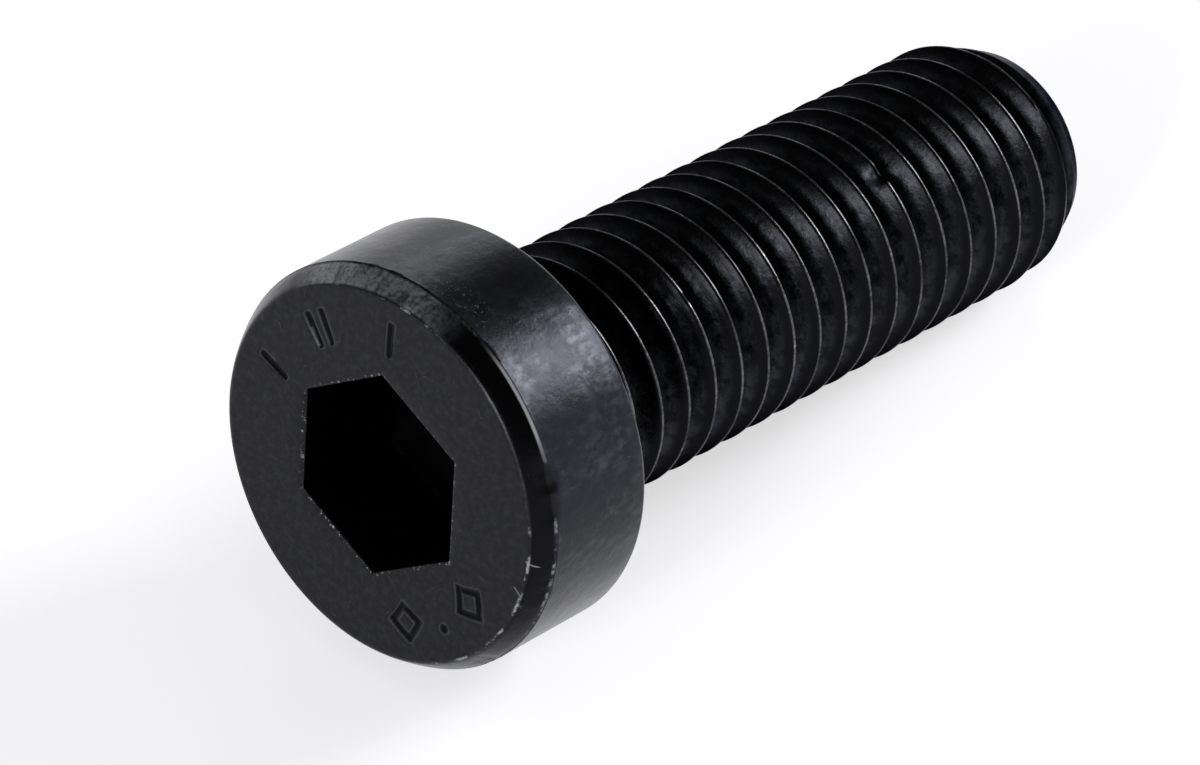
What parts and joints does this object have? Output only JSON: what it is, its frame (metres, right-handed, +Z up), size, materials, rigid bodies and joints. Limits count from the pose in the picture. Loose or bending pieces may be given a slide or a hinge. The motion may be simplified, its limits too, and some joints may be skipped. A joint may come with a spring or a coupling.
{
  "type": "low head socket cap screw",
  "caption": "Metric machine screw with a low round head, a hexagon socket and a coarse thread, lying on its side.",
  "frame": {"origin": "middle of the bottom of the bounding box of the lying screw, on the surface it rests on", "axes": "+Z up; the screw lies along Y with its head's face towards -Y and its tip towards +Y, its axis 6 degrees down towards the tip"},
  "size_m": [0.0156, 0.0366, 0.016],
  "materials": {
    "black_steel": "black oxide, lightly oiled, with bare steel where its edges are worn"
  },
  "bodies": {
    "root": {"cap_screw": "black_steel"}
  },
  "joints": []
}
